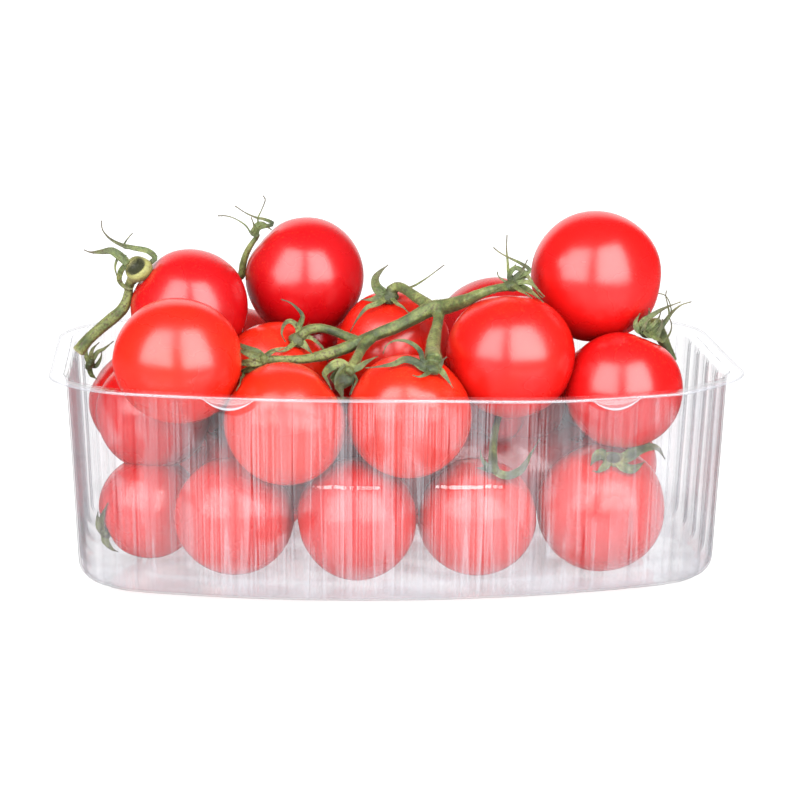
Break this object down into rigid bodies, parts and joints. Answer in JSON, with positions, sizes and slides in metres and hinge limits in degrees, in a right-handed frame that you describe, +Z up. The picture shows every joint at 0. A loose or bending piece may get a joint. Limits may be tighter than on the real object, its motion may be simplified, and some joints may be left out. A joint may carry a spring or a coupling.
{
  "type": "punnet of cherry tomatoes",
  "caption": "Clear plastic punnet with bowed long sides and a flanged rim, heaped with cherry tomatoes that are still on their green vines.",
  "frame": {"origin": "under the middle of the punnet, on the surface it stands on", "axes": "+X along the punnet's length, +Y from the shown long side to the far one, +Z up"},
  "size_m": [0.187, 0.137, 0.0988],
  "materials": {
    "clear_plastic": "clear, glossy, thin formed sheet",
    "tomato_skin": "smooth glossy fruit skin",
    "vine": "dull green stalk and leaf"
  },
  "bodies": {
    "root": {"tray": "clear_plastic", "tomatoes": "tomato_skin", "vine_front": "vine", "vine_back": "vine", "calyx_right": "vine", "calyx_left": "vine", "calyx_bottom_middle": "vine", "calyx_bottom_right": "vine", "calyx_bottom_left": "vine"}
  },
  "joints": []
}
